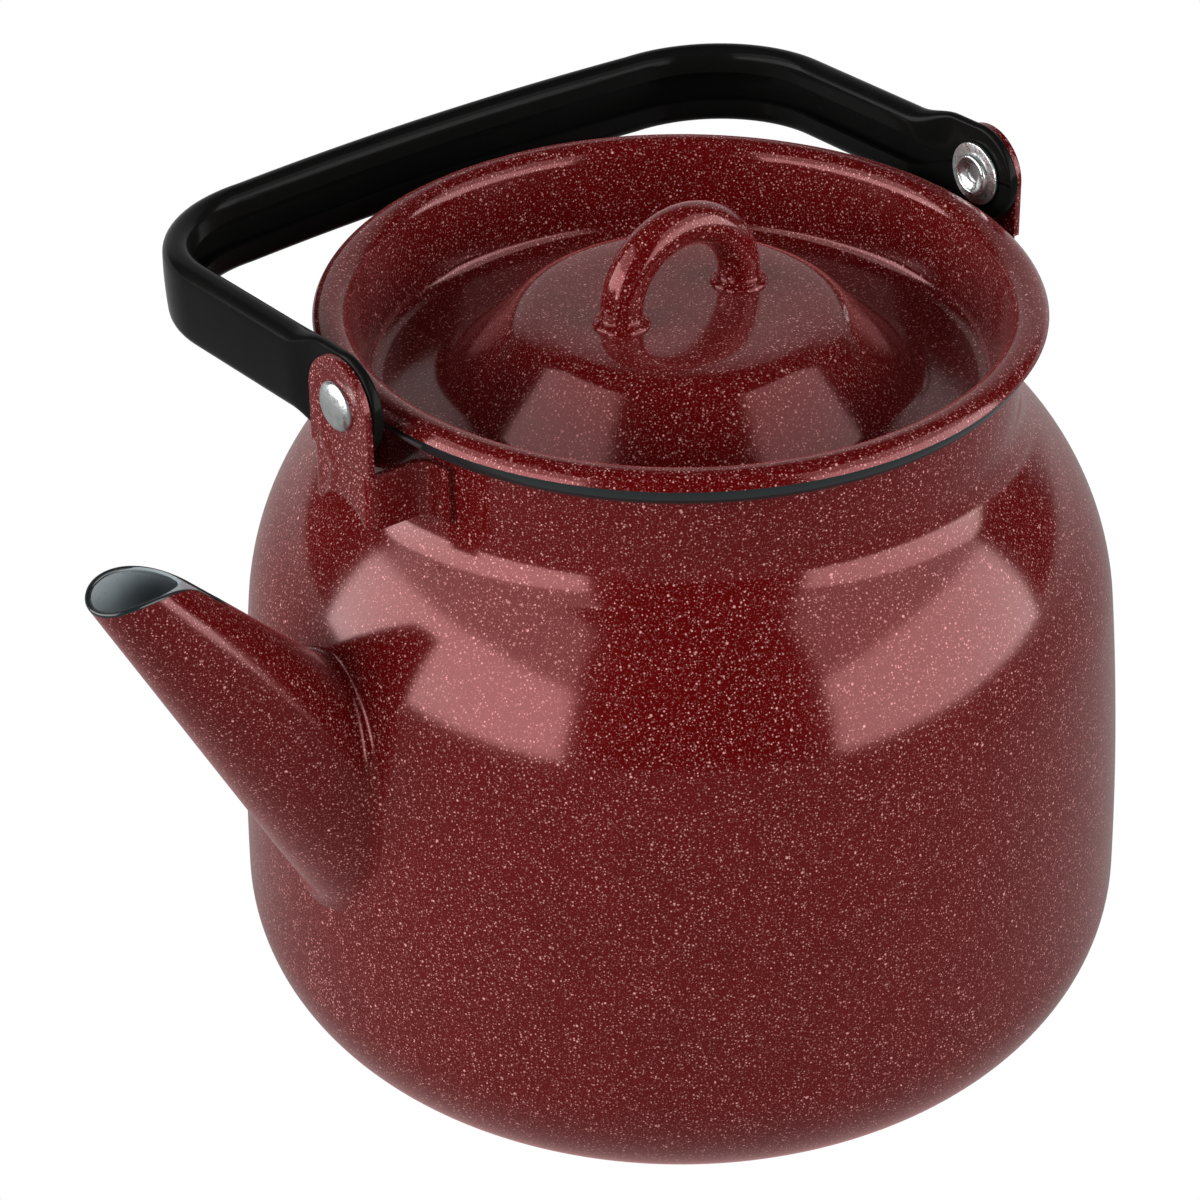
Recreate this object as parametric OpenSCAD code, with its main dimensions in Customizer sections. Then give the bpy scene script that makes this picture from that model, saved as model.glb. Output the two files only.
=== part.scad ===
// Enamelled steel kettle with a lift-off lid and a folding bail handle.
// Origin at the centre of the base, +Z up, the spout points along -X.
// The bail turns about an axis along X and lies back towards +Y at rest.

/* [Body] */
// Largest diameter of the body
body_d = 198; // [170:1:240]
// Radius of the rounded edge between base and wall
corner_r = 33; // [20:1:40]
// Height at which the wall turns into the shoulder
wall_top_z = 102; // [85:1:130]
// Inward lean of the wall at its top, in degrees
wall_lean = 5.5; // [2:0.5:8]
// Steepest slope of the shoulder, in degrees
shoulder_slope = 44.5; // [40:0.5:55]
// Radius of the hollow between shoulder and neck
collar_r = 14; // [8:1:20]
// Outside diameter of the neck
neck_d = 145.6; // [120:0.2:156]
// Length of the straight neck, up to the middle of the mouth bead
neck_h = 18.8; // [15:0.2:30]
// Thickness of the enamelled steel sheet
sheet_t = 1.2; // [0.8:0.1:1.6]
// Height of the weld seam between the base pan and the body shell
seam_z = 22; // [15:1:30]
// Width of the flat ring that the kettle stands on
foot_w = 7; // [5:1:12]
// Depth of the recess inside the foot ring
foot_recess = 1.5; // [1:0.5:3]
// Radius of the rolled bead round the mouth
bead_r = 2.6; // [2:0.1:3]

/* [Spout] */
// Distance from the widest part of the body out to the middle of the spout mouth
spout_overhang = 38.6; // [30:0.2:55]
// Distance from the mouth bead down to the highest point of the spout mouth
spout_mouth_drop = 17.2; // [8:0.2:30]
// Slope of the spout's axis, in degrees
spout_tilt = 53.8; // [48:0.1:60]
// Angle between the spout's wall and its axis, in degrees
spout_taper = 8.6; // [5:0.1:10]
// Diameter of the spout at its mouth, square to its axis
spout_mouth_d = 16.4; // [13:0.2:22]
// How far the two tips of the mouth dip below its highest point
spout_mouth_dip = 2.8; // [1:0.1:4]
// Thickness of the spout sheet
spout_t = 1.2; // [0.8:0.1:1.6]
// Diameter of each strainer hole behind the spout
strainer_d = 6; // [4:0.5:7]
// Distance between neighbouring strainer holes
strainer_pitch = 9.5; // [8:0.5:11]
// Distance from where the spout's axis meets the wall down to the middle of the strainer
strainer_drop = 5.4; // [0:0.2:8]

/* [Lid] */
// Thickness of the lid sheet
lid_t = 1.1; // [0.8:0.1:1.3]
// Depth of the well, from the rim's crown down to its floor
well_depth = 20.6; // [14:0.2:26]
// Draft of the well's wall, in degrees
well_draft = 11; // [8:1:20]
// Radius of the dome's shoulder, where its plateau ends
dome_r = 34.5; // [28:0.5:38]
// Height of the dome above the well floor
dome_h = 18.1; // [10:0.1:22]
// Slope of the dome's flank, in degrees
dome_slope = 47; // [40:1:60]
// Diameter of the rod of the lid loop
loop_rod_d = 9.2; // [5:0.2:10]
// Distance between the feet of the lid loop
loop_span = 31.4; // [28:0.2:38]
// Length of the straight part of each leg of the lid loop
loop_leg = 2.4; // [2:0.1:10]
// Diameter of each foot of the lid loop
loop_foot_d = 12.6; // [11:0.2:15]

/* [Brackets and rivets] */
// Width of each ear
ear_w = 20.8; // [18:0.2:24]
// Thickness of the bracket sheet
ear_t = 1.5; // [1:0.1:2]
// Distance from the foot of the neck up to the lower edge of each bracket
bracket_lift = 0.3; // [0:0.1:2]
// Height of the bail's hinge axis above the middle of the mouth bead
hinge_rise = 6.6; // [4:0.2:12]
// Diameter of the rivet shank
rivet_d = 5; // [4:0.2:6]
// Diameter of the rivet head
rivet_head_d = 10.8; // [9:0.2:12]
// Height of the rivet head
rivet_head_h = 2; // [1.5:0.1:2.5]
// Diameter of the washer inside the bail
washer_d = 14.4; // [12:0.2:16]
// Thickness of the washer
washer_t = 1; // [0.8:0.1:1.5]

/* [Bail] */
// How far the rolled legs stand out beyond the flattened ends
leg_jog = 0.8; // [0.4:0.1:1]
// Outer radius of each corner of the bail
bail_corner_r = 33; // [24:1:40]
// Width of the rolled bail section
roll_w = 18.6; // [16:0.2:20]
// Depth of the rolled bail section
roll_d = 6; // [5:0.2:6.4]
// Thickness of the bail sheet
bail_t = 1.1; // [0.8:0.1:1.4]
// Width of the open slot along the inside of the bail
slot_w = 7; // [5:0.5:9]
// Width of the flattened ends of the bail
lug_w = 22.4; // [20:0.2:24]
// Thickness of the flattened ends of the bail
lug_t = 2.2; // [1.8:0.1:2.6]
// Angle by which the resting bail hangs below the horizontal
bail_droop = 3.6; // [0:0.1:8]

/* [Clearances] */
// Radial gap between a rivet shank and the bail's hole
pivot_gap = 0.08; // [0.02:0.01:0.1]
// Side gap between an ear and the bail
ear_gap = 0.2; // [0.1:0.05:0.4]
// Side gap between the bail and its washer
washer_gap = 0.15; // [0.1:0.05:0.3]
// Gap between the bail and the bracket edge that stops it
stop_gap = 0.15; // [0.1:0.05:0.5]
// Gap between the lid rim and the mouth bead
lid_gap = 0.35; // [0.3:0.05:0.6]
// Gap between the lid rim and each leg of the bail
leg_gap = 1.85; // [1.2:0.05:6]
// Gap between the lid rim and the grip of the resting bail
grip_gap = 8.2; // [4:0.2:30]

/* [Hidden] */
$fn = 96;
eps = 0.01;
over = 1;

enamel = "#5e1218";
black_enamel = "#0d0d0e";
zinc = "#b9bdc0";

// Body outline, from the base upwards
body_r = body_d / 2;
neck_r = neck_d / 2;
foot_r = body_r - corner_r;
seam_angle = asin((seam_z - corner_r) / corner_r);
seam_in = [foot_r, corner_r] + (corner_r - sheet_t) * [cos(seam_angle), sin(seam_angle)];
foot_step_w = 2;
wall_foot_lean = 0.5;
wall_foot_r = foot_r + corner_r * cos(wall_foot_lean);
wall_foot_z = corner_r * (1 + sin(wall_foot_lean));
wall_bow_r = (wall_top_z - wall_foot_z) / (sin(wall_lean) - sin(wall_foot_lean));
wall_top_r = wall_foot_r - wall_bow_r * (cos(wall_foot_lean) - cos(wall_lean));
collar_in = collar_r * (1 - cos(shoulder_slope));
shoulder_r = (wall_top_r - neck_r - collar_in) / (cos(wall_lean) - cos(shoulder_slope));
shoulder_top_z = wall_top_z + shoulder_r * (sin(shoulder_slope) - sin(wall_lean));
neck_foot_z = shoulder_top_z + collar_r * sin(shoulder_slope);

// Mouth, lid seat and hinge
bead_z = neck_foot_z + neck_h;
bead_mid_r = neck_r - sheet_t + bead_r;
lid_rim_r = bead_r + lid_gap + lid_t;
lid_out_r = bead_mid_r + lid_rim_r;
hinge_z = bead_z + hinge_rise;

// Bail outline, standing clear of the lid rim
bail_out = lid_out_r + leg_gap + roll_d;
bail_reach = lid_out_r + grip_gap + roll_d;
lug_out = bail_out - leg_jog;
lug_in = lug_out - lug_t;
corner_mid_x = bail_out - bail_corner_r;
corner_mid_y = bail_reach - bail_corner_r;

// Brackets, rivets and washers, placed by the flattened ends of the bail
ear_in = lug_out + ear_gap;
ear_out = ear_in + ear_t;
ear_top_r = ear_w / 2;
washer_out = lug_in - washer_gap;
washer_in = washer_out - washer_t;
bracket_foot_z = neck_foot_z + bracket_lift;
bracket_top_z = hinge_z - stop_gap - lug_w / 2 / cos(bail_droop) - ear_top_r * tan(bail_droop);
weld_tab_w = 4.5;
weld_tab_t = 1;
weld_tab_lap = 0.8;
arch_r = 10;
arch_rise = 4;

// Where the flattened end meets the rolled leg, measured from the hinge axis
roll_lead = 1.6;
lug_lap = 5;
roll_start = ear_top_r + roll_lead;
lug_len = roll_start + lug_lap;

// Rivet tail, flared and hollow
tail_h = 1.3;
tail_d = rivet_d + 4.5;
tail_wall = 0.5;

// Lid outline
rim_end_angle = 18;
lid_inner_r = bead_mid_r - lid_rim_r * cos(well_draft);
well_z = bead_z + lid_rim_r - well_depth;
plateau_z = well_z + dome_h;
well_fillet = 4;
dome_fillet = 8;
dome_shoulder = 9;
dome_edge = 2;
plateau_flat_r = 24;
crown_r = 60;
loop_mid_z = plateau_z + loop_leg;

// Feet of the lid loop
foot_rim_h = 0.8;
foot_flare_h = 1;
foot_step = 0.6;

// Spout, a cone whose axis passes through the middle of its mouth
spout_reach = body_r + spout_overhang;
spout_mouth_z = bead_z - spout_mouth_drop;
spout_axis_z = spout_mouth_z - spout_mouth_dip / 2;
spout_lead = spout_mouth_d;
spout_len = (spout_reach - neck_r) / cos(spout_tilt);
lip_run = spout_mouth_d / 2 * cos(spout_taper) / sin(spout_tilt + spout_taper);
top_run = spout_mouth_d / 2 * cos(spout_taper) / sin(spout_tilt - spout_taper);
mouth_half = (lip_run + top_run) / 2;
mouth_mid_x = -spout_reach + (top_run - lip_run) / 2;
mouth_cut_r = (pow(mouth_half, 2) + pow(spout_mouth_dip, 2)) / (2 * spout_mouth_dip);
strainer_z = spout_axis_z - (spout_reach - wall_top_r) * tan(spout_tilt) - strainer_drop;
strainer_rows = 4;
strainer_columns = 3;

// Points along an arc about [x, y], from angle a to angle b in n steps
function arc(x, y, r, a, b, n) =
    [for (i = [0 : n]) [x + r * cos(a + (b - a) * i / n), y + r * sin(a + (b - a) * i / n)]];

// Unit vector along a to b
function along(a, b) = (b - a) / norm(b - a);

// Left-hand normal of an outline at point i
function left_of(p, i) =
    let (d = along(p[max(i - 1, 0)], p[min(i + 1, len(p) - 1)])) [-d[1], d[0]];

// The outline and its copy t to the left, as one closed strip. A given head or tail is the
// end of the copy beside the outline's first or last point.
function strip(p, t, head, tail) =
    let (last = len(p) - 1)
    concat(p, [for (i = [last : -1 : 0])
        i == 0 && !is_undef(head) ? head :
        i == last && !is_undef(tail) ? tail : p[i] + t * left_of(p, i)]);

// A sheet pressed to an outline and turned about Z
module pressed(outline, t, head, tail) {
    rotate_extrude() polygon(strip(outline, t, head, tail));
}

// Outer outline of the pan, from its centre to the seam
function pan_outline() = concat(
    [[0, foot_recess], [foot_r - foot_w - foot_step_w, foot_recess], [foot_r - foot_w, 0]],
    arc(foot_r, corner_r, corner_r, -90, seam_angle, 10));

// Outer outline of the shell, from the seam to the top of the neck
function shell_outline() = concat(
    arc(foot_r, corner_r, corner_r, seam_angle, wall_foot_lean, 4),
    [for (p = arc(wall_foot_r - wall_bow_r * cos(wall_foot_lean),
                  wall_foot_z - wall_bow_r * sin(wall_foot_lean),
                  wall_bow_r, wall_foot_lean, wall_lean, 6)) if (p[1] > wall_foot_z + eps) p],
    [for (p = arc(wall_top_r - shoulder_r * cos(wall_lean),
                  wall_top_z - shoulder_r * sin(wall_lean),
                  shoulder_r, wall_lean, shoulder_slope, 9)) if (p[1] > wall_top_z + eps) p],
    [for (p = arc(neck_r + collar_r, neck_foot_z, collar_r, 180 + shoulder_slope, 180, 7))
        if (p[1] > shoulder_top_z + eps) p],
    [[neck_r, bead_z]]);

// Everything inside the outer surface of the body
module body_block() {
    rotate_extrude() polygon(concat([[0, seam_z]], shell_outline(), [[0, bead_z]]));
}

// Lower half of the body, with its foot ring
module base_pan() {
    color(enamel) pressed(pan_outline(), sheet_t, tail = seam_in);
}

// Wall, shoulder and neck, with the strainer behind the spout
module body_shell() {
    color(enamel) difference() {
        pressed(shell_outline(), sheet_t, head = seam_in);
        for (row = [1 : strainer_rows], column = [1 : strainer_columns])
            translate([-body_r - over, (column - (strainer_columns + 1) / 2) * strainer_pitch,
                       strainer_z + (row - (strainer_rows + 1) / 2) * strainer_pitch])
                rotate([0, 90, 0]) cylinder(h = body_r / 2, d = strainer_d, $fn = 32);
    }
}

// Edge of the mouth, rolled outwards over the top of the neck
module mouth_bead() {
    color(black_enamel) rotate_extrude() difference() {
        translate([bead_mid_r, bead_z]) circle(r = bead_r, $fn = 48);
        translate([0, bead_z - 2 * bead_r]) square([neck_r, 2 * bead_r]);
    }
}

// The spout's cone, inset by its wall, from beyond the mouth to inside the body
module spout_cone(wall) {
    axis_r = spout_mouth_d / 2 - wall / cos(spout_taper);
    translate([-spout_reach, 0, spout_axis_z]) rotate([0, 90 + spout_tilt, 0])
        translate([0, 0, -spout_lead])
            cylinder(h = spout_lead + spout_len, r1 = axis_r - spout_lead * tan(spout_taper),
                     r2 = axis_r + spout_len * tan(spout_taper));
}

// The whole spout, cut to the body at its root and arched at its mouth
module spout() {
    difference() {
        spout_cone(0);
        spout_cone(spout_t);
        body_block();
        difference() {
            translate([mouth_mid_x - 2 * spout_mouth_d, -spout_mouth_d, spout_mouth_z - 2 * spout_mouth_dip])
                cube([4 * spout_mouth_d, 2 * spout_mouth_d, 3 * spout_lead]);
            translate([mouth_mid_x, 0, spout_mouth_z - mouth_cut_r]) rotate([90, 0, 0])
                cylinder(h = 4 * spout_mouth_d, r = mouth_cut_r, center = true, $fn = 128);
        }
    }
}

// One pressed half of the spout; side is -1 for -Y and 1 for +Y
module spout_half(side) {
    intersection() {
        spout();
        translate([-2 * spout_reach, side < 0 ? -body_r : 0, 0])
            cube([2 * spout_reach, body_r, 2 * spout_mouth_z]);
    }
}

module spout_half_left() {
    color(enamel) spout_half(-1);
}

module spout_half_right() {
    color(enamel) spout_half(1);
}

// A cylinder along +X, from x = a to x = b, on the hinge axis
module hinge_cylinder(a, b, d) {
    translate([a, 0, hinge_z]) rotate([0, 90, 0]) cylinder(h = b - a, d = d);
}

// Weld tab that lies on the neck beside one wall of the bracket
module weld_tab() {
    tab_angle = weld_tab_w / neck_r * 180 / PI;
    translate([0, 0, bracket_foot_z])
        rotate([0, 0, asin(ear_top_r / neck_r) - weld_tab_lap])
            rotate_extrude(angle = tab_angle)
                translate([neck_r, 0]) square([weld_tab_t, bracket_top_z - bracket_foot_z]);
}

// Bracket at +X: an ear, two walls back to the neck and their weld tabs
module bracket() {
    difference() {
        union() {
            translate([ear_in, 0, hinge_z]) rotate([90, 0, 90]) linear_extrude(ear_t) {
                circle(d = ear_w);
                translate([-ear_top_r, bracket_foot_z - hinge_z]) square([ear_w, hinge_z - bracket_foot_z]);
            }
            for (y = [-ear_top_r, ear_top_r - ear_t])
                translate([neck_r / 2, y, bracket_foot_z])
                    cube([ear_out - neck_r / 2, ear_t, bracket_top_z - bracket_foot_z]);
        }
        translate([0, 0, bracket_foot_z - over]) cylinder(h = 2 * neck_h, r = neck_r);
        hinge_cylinder(0, 2 * ear_out, rivet_d);
        translate([ear_in - over, 0, bracket_foot_z + arch_rise - arch_r])
            rotate([0, 90, 0]) cylinder(h = ear_t + 2 * over, r = arch_r);
    }
    weld_tab();
    mirror([0, 1, 0]) weld_tab();
}

// Rivet at +X: domed head outside the ear, flared hollow tail inside the washer
module rivet() {
    curve_r = (pow(rivet_head_d / 2, 2) + pow(rivet_head_h, 2)) / (2 * rivet_head_h);
    curve_angle = asin(rivet_head_d / 2 / curve_r);
    translate([ear_out, 0, hinge_z]) rotate([0, 90, 0]) rotate_extrude()
        polygon(concat([[0, 0]], [[rivet_head_d / 2, 0]],
            arc(0, rivet_head_h - curve_r, curve_r, 90 - curve_angle, 90, 8)));
    difference() {
        union() {
            hinge_cylinder(washer_in - tail_h, ear_out, rivet_d);
            hinge_cylinder(washer_in - tail_h, washer_in, tail_d);
        }
        hinge_cylinder(washer_in - 2 * tail_h, washer_in + washer_t / 2, rivet_d - 2 * tail_wall);
    }
}

module washer() {
    difference() {
        hinge_cylinder(washer_in, washer_out, washer_d);
        hinge_cylinder(washer_in - over, washer_out + over, rivet_d);
    }
}

module bracket_front() {
    color(enamel) mirror([1, 0, 0]) bracket();
}

module bracket_rear() {
    color(enamel) bracket();
}

module rivet_front() {
    color(zinc) mirror([1, 0, 0]) rivet();
}

module rivet_rear() {
    color(zinc) rivet();
}

module washer_front() {
    color(zinc) mirror([1, 0, 0]) washer();
}

module washer_rear() {
    color(zinc) washer();
}

// Rolled section of the bail: x = 0 is its outer face, x = -roll_d its slotted inner face
module roll_section() {
    difference() {
        rounded_bar(roll_d, roll_w);
        translate([-bail_t, 0]) rounded_bar(roll_d - 2 * bail_t, roll_w - 2 * bail_t);
        translate([-roll_d - over, -slot_w / 2]) square([bail_t + 2 * over, slot_w]);
    }
}

// A bar with full-round ends, from x = -depth to x = 0
module rounded_bar(depth, width) {
    translate([-depth, -(width - depth) / 2]) square([depth, width - depth]);
    for (y = [-1, 1])
        translate([-depth / 2, y * (width - depth) / 2]) circle(d = depth, $fn = 32);
}

// Leg, corner and flattened end of the bail at +X, lying flat with the hinge axis on the origin
module bail_side() {
    translate([0, corner_mid_y, 0]) rotate([90, 0, 0])
        linear_extrude(corner_mid_y - roll_start) translate([bail_out, 0]) roll_section();
    translate([corner_mid_x, corner_mid_y, 0])
        rotate_extrude(angle = 90) translate([bail_corner_r, 0]) roll_section();
    translate([lug_in, 0, -lug_w / 2]) cube([lug_t, lug_len, lug_w]);
    translate([lug_in, 0, 0]) rotate([0, 90, 0]) cylinder(h = lug_t, d = lug_w);
}

// Pressed steel bail with flattened, drilled ends
module bail_handle() {
    color(black_enamel) difference() {
        translate([0, 0, hinge_z]) rotate([-bail_droop, 0, 0]) {
            bail_side();
            mirror([1, 0, 0]) bail_side();
            translate([-corner_mid_x, bail_reach, 0]) rotate([90, 0, 90])
                linear_extrude(2 * corner_mid_x) roll_section();
        }
        hinge_cylinder(-ear_out, ear_out, rivet_d + 2 * pivot_gap);
    }
}

// Upper outline of the lid, from its outer edge inwards
function lid_outline() =
    let (
        wall_end_z = well_z + well_fillet * (1 - sin(well_draft)),
        wall_end_r = lid_inner_r - (bead_z + lid_rim_r * sin(well_draft) - wall_end_z) * tan(well_draft),
        floor_r = wall_end_r - well_fillet * cos(well_draft),
        flank_top_r = dome_r + dome_edge,
        shoulder_mid_r = flank_top_r - dome_shoulder * sin(dome_slope),
        crown_tip = asin((shoulder_mid_r - plateau_flat_r) / (crown_r - dome_shoulder)),
        crown_drop = (crown_r - dome_shoulder) * (1 - cos(crown_tip)),
        shoulder_mid_z = plateau_z - crown_drop - dome_shoulder,
        flank_top_z = shoulder_mid_z + dome_shoulder * cos(dome_slope),
        flank_end_z = well_z + dome_fillet * (1 - cos(dome_slope)),
        flank_end_r = flank_top_r + (flank_top_z - flank_end_z) / tan(dome_slope),
        dome_foot_r = flank_end_r + dome_fillet * sin(dome_slope))
    concat(
        arc(bead_mid_r, bead_z, lid_rim_r, rim_end_angle, 180 - well_draft, 16),
        arc(floor_r, well_z + well_fillet, well_fillet, -well_draft, -90, 5),
        arc(dome_foot_r, well_z + dome_fillet, dome_fillet, -90, -90 - dome_slope, 5),
        arc(shoulder_mid_r, shoulder_mid_z, dome_shoulder, 90 - dome_slope, 90 - crown_tip, 6),
        arc(plateau_flat_r, plateau_z - crown_r, crown_r, 90 - crown_tip / 2, 90, 2),
        [[0, plateau_z]]);

// Dished lid: a half-round rim, a well that drops into the neck and a raised dome
module lid_dish() {
    color(enamel) pressed(lid_outline(), lid_t);
}

// Foot of the lid loop: a flared disc welded to the plateau
module loop_foot() {
    cylinder(h = foot_rim_h, d = loop_foot_d);
    translate([0, 0, foot_rim_h])
        cylinder(h = foot_flare_h, d1 = loop_foot_d - 2 * foot_step, d2 = loop_rod_d);
}

// Round rod bent into an arch, with a foot at each end
module lid_loop() {
    color(enamel) {
        translate([0, 0, loop_mid_z]) rotate([90, 0, 0]) rotate_extrude(angle = 180)
            translate([loop_span / 2, 0]) circle(d = loop_rod_d, $fn = 32);
        for (x = [-loop_span / 2, loop_span / 2])
            translate([x, 0, plateau_z]) {
                cylinder(h = loop_mid_z - plateau_z, d = loop_rod_d);
                loop_foot();
            }
    }
}

base_pan();
body_shell();
mouth_bead();
spout_half_left();
spout_half_right();
bracket_front();
bracket_rear();
rivet_front();
rivet_rear();
washer_front();
washer_rear();
bail_handle();
lid_dish();
lid_loop();
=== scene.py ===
"""Finished surfaces of the enamelled kettle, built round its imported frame.

Lengths are in millimetres in the size classes and in metres in the meshes.
The front is the spout's side, -X, and the resting bail lies towards +Y.
"""

import logging
import math
from dataclasses import dataclass, field
from enum import Enum
from typing import Callable, Sequence

import bmesh
import bpy
from mathutils import Matrix, Vector


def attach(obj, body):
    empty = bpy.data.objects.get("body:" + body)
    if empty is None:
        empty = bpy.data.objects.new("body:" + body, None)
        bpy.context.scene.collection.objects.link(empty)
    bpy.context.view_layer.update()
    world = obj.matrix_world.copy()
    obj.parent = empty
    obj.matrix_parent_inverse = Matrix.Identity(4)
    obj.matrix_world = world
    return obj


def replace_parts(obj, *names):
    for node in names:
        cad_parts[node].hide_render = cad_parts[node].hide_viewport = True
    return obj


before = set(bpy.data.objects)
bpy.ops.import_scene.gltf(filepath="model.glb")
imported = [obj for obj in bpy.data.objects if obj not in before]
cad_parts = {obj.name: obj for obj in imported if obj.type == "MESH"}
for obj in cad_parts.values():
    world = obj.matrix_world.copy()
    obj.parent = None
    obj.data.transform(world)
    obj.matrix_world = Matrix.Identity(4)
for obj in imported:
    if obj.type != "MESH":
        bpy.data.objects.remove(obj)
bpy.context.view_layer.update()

LOG = logging.getLogger("kettle")
ENAMEL_IOR = 1.5
MM = 0.001
SHARP = 38.0  # degrees; an edge that bends by more stays sharp
Point = tuple[float, float]
Colour = tuple[float, float, float]
Profile = list[Point]
EdgeLine = Callable[[float], float]


class Body(Enum):
    """The bodies that the pieces ride on."""

    KETTLE = "kettle"
    BAIL = "bail"
    LID = "lid"


class Slot(Enum):
    """The record's material slots."""

    ENAMEL = "enamel"
    BLACK = "black_enamel"
    ZINC = "zinc"


# --- outlines


def arc(cx: float, cy: float, radius: float, start: float, end: float, steps: int) -> Profile:
    """Points along an arc.

    Args:
        cx: First coordinate of the centre.
        cy: Second coordinate of the centre.
        radius: Radius of the arc.
        start: First angle in degrees.
        end: Last angle in degrees.
        steps: Number of steps between the two.

    Returns:
        The points, both ends included.
    """
    angles = [math.radians(start + (end - start) * i / steps) for i in range(steps + 1)]
    return [(cx + radius * math.cos(a), cy + radius * math.sin(a)) for a in angles]


def segment(a: Point, b: Point, steps: int) -> Profile:
    """Points along a straight line, both ends included."""
    run, rise = b[0] - a[0], b[1] - a[1]
    return [(a[0] + run * i / steps, a[1] + rise * i / steps) for i in range(steps + 1)]


def tidy(outline: Profile) -> Profile:
    """Drops points that repeat the one before.

    Args:
        outline: Points in order.

    Returns:
        The points that are left.
    """
    kept = [outline[0]]
    for p in outline[1:]:
        if math.dist(p, kept[-1]) > 1e-3:
            kept.append(p)
    return kept


def offset(outline: Profile, distance: float) -> Profile:
    """The outline moved to its left by a distance.

    Args:
        outline: Points in order.
        distance: How far to the left, in millimetres.

    Returns:
        As many points, none of them past the axis.
    """
    moved = []
    for i, (x, y) in enumerate(outline):
        a = outline[max(i - 1, 0)]
        b = outline[min(i + 1, len(outline) - 1)]
        length = math.dist(a, b)
        dx, dy = (b[0] - a[0]) / length, (b[1] - a[1]) / length
        moved.append((max(x - dy * distance, 0.0) if x > 0 else 0.0, y + dx * distance))
    return moved


def full_turn(count: int) -> list[float]:
    """Angles of even steps round a circle."""
    return [2 * math.pi * i / count for i in range(count)]


def hoop(middle: Vector, out: Vector, across: Vector, radius: float, count: int) -> list[Vector]:
    """A ring of points in the plane of two directions."""
    turns = [(radius * math.cos(a), radius * math.sin(a)) for a in full_turn(count)]
    return [middle + out * u + across * v for u, v in turns]


def smoothstep(low: float, high: float, value: float) -> float:
    """0 below low, 1 above high and a smooth rise between."""
    t = min(max((value - low) / (high - low), 0.0), 1.0)
    return t * t * (3 - 2 * t)


# --- shader tools


class Wire:
    """A shader value. Arithmetic on it adds Math nodes."""

    def __init__(self, tree: "Shader", socket: bpy.types.NodeSocket) -> None:
        """Keeps the socket and the tree that it is in."""
        self.tree = tree
        self.socket = socket

    def _math(self, operation: str, *values: "Wire | float") -> "Wire":
        """A Math node on these values."""
        return self.tree.node("ShaderNodeMath", {"operation": operation}, dict(enumerate(values)))

    def __add__(self, other: "Wire | float") -> "Wire":
        """Sum."""
        return self._math("ADD", self, other)

    def __radd__(self, other: float) -> "Wire":
        """Sum with a number on the left."""
        return self._math("ADD", other, self)

    def __sub__(self, other: "Wire | float") -> "Wire":
        """Difference."""
        return self._math("SUBTRACT", self, other)

    def __rsub__(self, other: float) -> "Wire":
        """Difference with a number on the left."""
        return self._math("SUBTRACT", other, self)

    def __mul__(self, other: "Wire | float") -> "Wire":
        """Product."""
        return self._math("MULTIPLY", self, other)

    def __rmul__(self, other: float) -> "Wire":
        """Product with a number on the left."""
        return self._math("MULTIPLY", other, self)

    def __truediv__(self, other: "Wire | float") -> "Wire":
        """Quotient."""
        return self._math("DIVIDE", self, other)

    def __rtruediv__(self, other: float) -> "Wire":
        """Quotient with a number on the left."""
        return self._math("DIVIDE", other, self)

    def power(self, exponent: float) -> "Wire":
        """The value raised to a power."""
        return self._math("POWER", self, exponent)

    def root(self) -> "Wire":
        """Square root."""
        return self._math("SQRT", self)

    def larger(self, other: "Wire | float") -> "Wire":
        """The larger of two values."""
        return self._math("MAXIMUM", self, other)

    def step(self, low: "Wire | float", high: "Wire | float") -> "Wire":
        """A smooth rise from 0 at low to 1 at high."""
        return self.tree.node(
            "ShaderNodeMapRange",
            {"interpolation_type": "SMOOTHSTEP"},
            {"Value": self, "From Min": low, "From Max": high},
        )


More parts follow.
